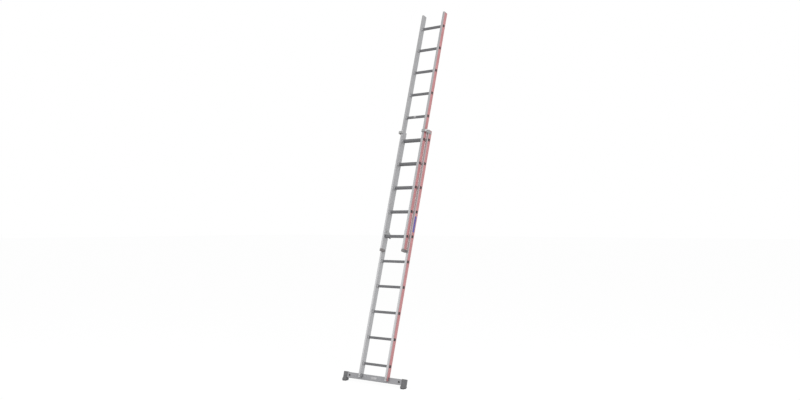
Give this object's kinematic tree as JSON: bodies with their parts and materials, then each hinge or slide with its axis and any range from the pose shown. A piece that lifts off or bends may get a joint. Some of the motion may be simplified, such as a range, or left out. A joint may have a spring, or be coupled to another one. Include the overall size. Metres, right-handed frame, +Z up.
{
  "type": "extension ladder",
  "caption": "Sliding extension ladder of two aluminium sections with square rungs, a wide base bar with rubber feet, top guides, rung hooks and sprung safety latches.",
  "frame": {"origin": "On the floor, under the middle of the leaning ladder's box: midway across the rungs and midway between the feet and the top end.", "axes": "+Z is up. The rungs run along X. The ladder leans back towards +Y at 16.2 degrees from the vertical, and -Y is the climber's side."},
  "size_m": [0.83, 1.1888, 4.1443],
  "materials": {
    "stile": "mill aluminium, with a muted red coating on the outer face",
    "rung": "satin aluminium with fine ribs on the tread",
    "base_bar": "satin aluminium",
    "guide_strap": "bright zinc-plated strap",
    "hook_steel": "zinc-plated steel",
    "fastener": "zinc-plated steel",
    "spring_wire": "bright spring wire",
    "cap": "grey moulded plastic",
    "black_plastic": "black moulded plastic",
    "foot": "dark grey moulded plastic",
    "sole": "ribbed rubber"
  },
  "bodies": {
    "lower_section": {"base_bar": "base_bar", "lower_rung_01": "rung", "lower_rung_02": "rung", "lower_rung_03": "rung", "lower_rung_04": "rung", "lower_rung_05": "rung", "lower_rung_06": "rung", "lower_rung_07": "rung", "lower_rung_08": "rung", "lower_rung_09": "rung", "lower_rung_10": "rung", "lower_stile_left": "stile", "lower_cap_left": "cap", "stile_plug_left": "cap", "bar_foot_left": "foot", "foot_sole_left": "sole", "foot_screw_left": "black_plastic", "bar_bolt_left": "fastener", "bar_nut_left": "fastener", "top_guide_left": "guide_strap", "guide_pad_left": "black_plastic", "guide_bolt_left": "fastener", "lower_stile_right": "stile", "lower_cap_right": "cap", "stile_plug_right": "cap", "bar_foot_right": "foot", "foot_sole_right": "sole", "foot_screw_right": "black_plastic", "bar_bolt_right": "fastener", "bar_nut_right": "fastener", "top_guide_right": "guide_strap", "guide_pad_right": "black_plastic", "guide_bolt_right": "fastener"},
    "upper_section": {"upper_rung_01": "rung", "upper_rung_02": "rung", "upper_rung_03": "rung", "upper_rung_04": "rung", "upper_rung_05": "rung", "upper_rung_06": "rung", "upper_rung_07": "rung", "upper_rung_08": "rung", "upper_rung_09": "rung", "upper_rung_10": "rung", "upper_stile_left": "stile", "upper_cap_left": "cap", "slide_shoe_left": "cap", "hook_left": "hook_steel", "hook_rivet_left": "fastener", "latch_pin_left": "fastener", "latch_spring_left": "spring_wire", "upper_stile_right": "stile", "upper_cap_right": "cap", "slide_shoe_right": "cap", "hook_right": "hook_steel", "hook_rivet_right": "fastener", "latch_pin_right": "fastener", "latch_spring_right": "spring_wire"},
    "latch_left": {"latch_left": "hook_steel"},
    "latch_right": {"latch_right": "hook_steel"}
  },
  "joints": [
    {"name": "extension_slide", "type": "slide", "parent": "lower_section", "child": "upper_section", "axis": [0, 0.279, 0.9603], "range_m": [-1.4, 0.28]},
    {"name": "latch_left_hinge", "type": "hinge", "parent": "upper_section", "child": "latch_left", "pos_m": [-0.1274, -0.1195, 1.52186], "axis": [1, 0, 0], "range_deg": [0, 70], "stiffness_Nm_per_rad": 0.02, "springref_deg": -20.05},
    {"name": "latch_right_hinge", "type": "hinge", "parent": "upper_section", "child": "latch_right", "pos_m": [0.1274, -0.1195, 1.52186], "axis": [1, 0, 0], "range_deg": [0, 70], "stiffness_Nm_per_rad": 0.02, "springref_deg": -20.05}
  ]
}
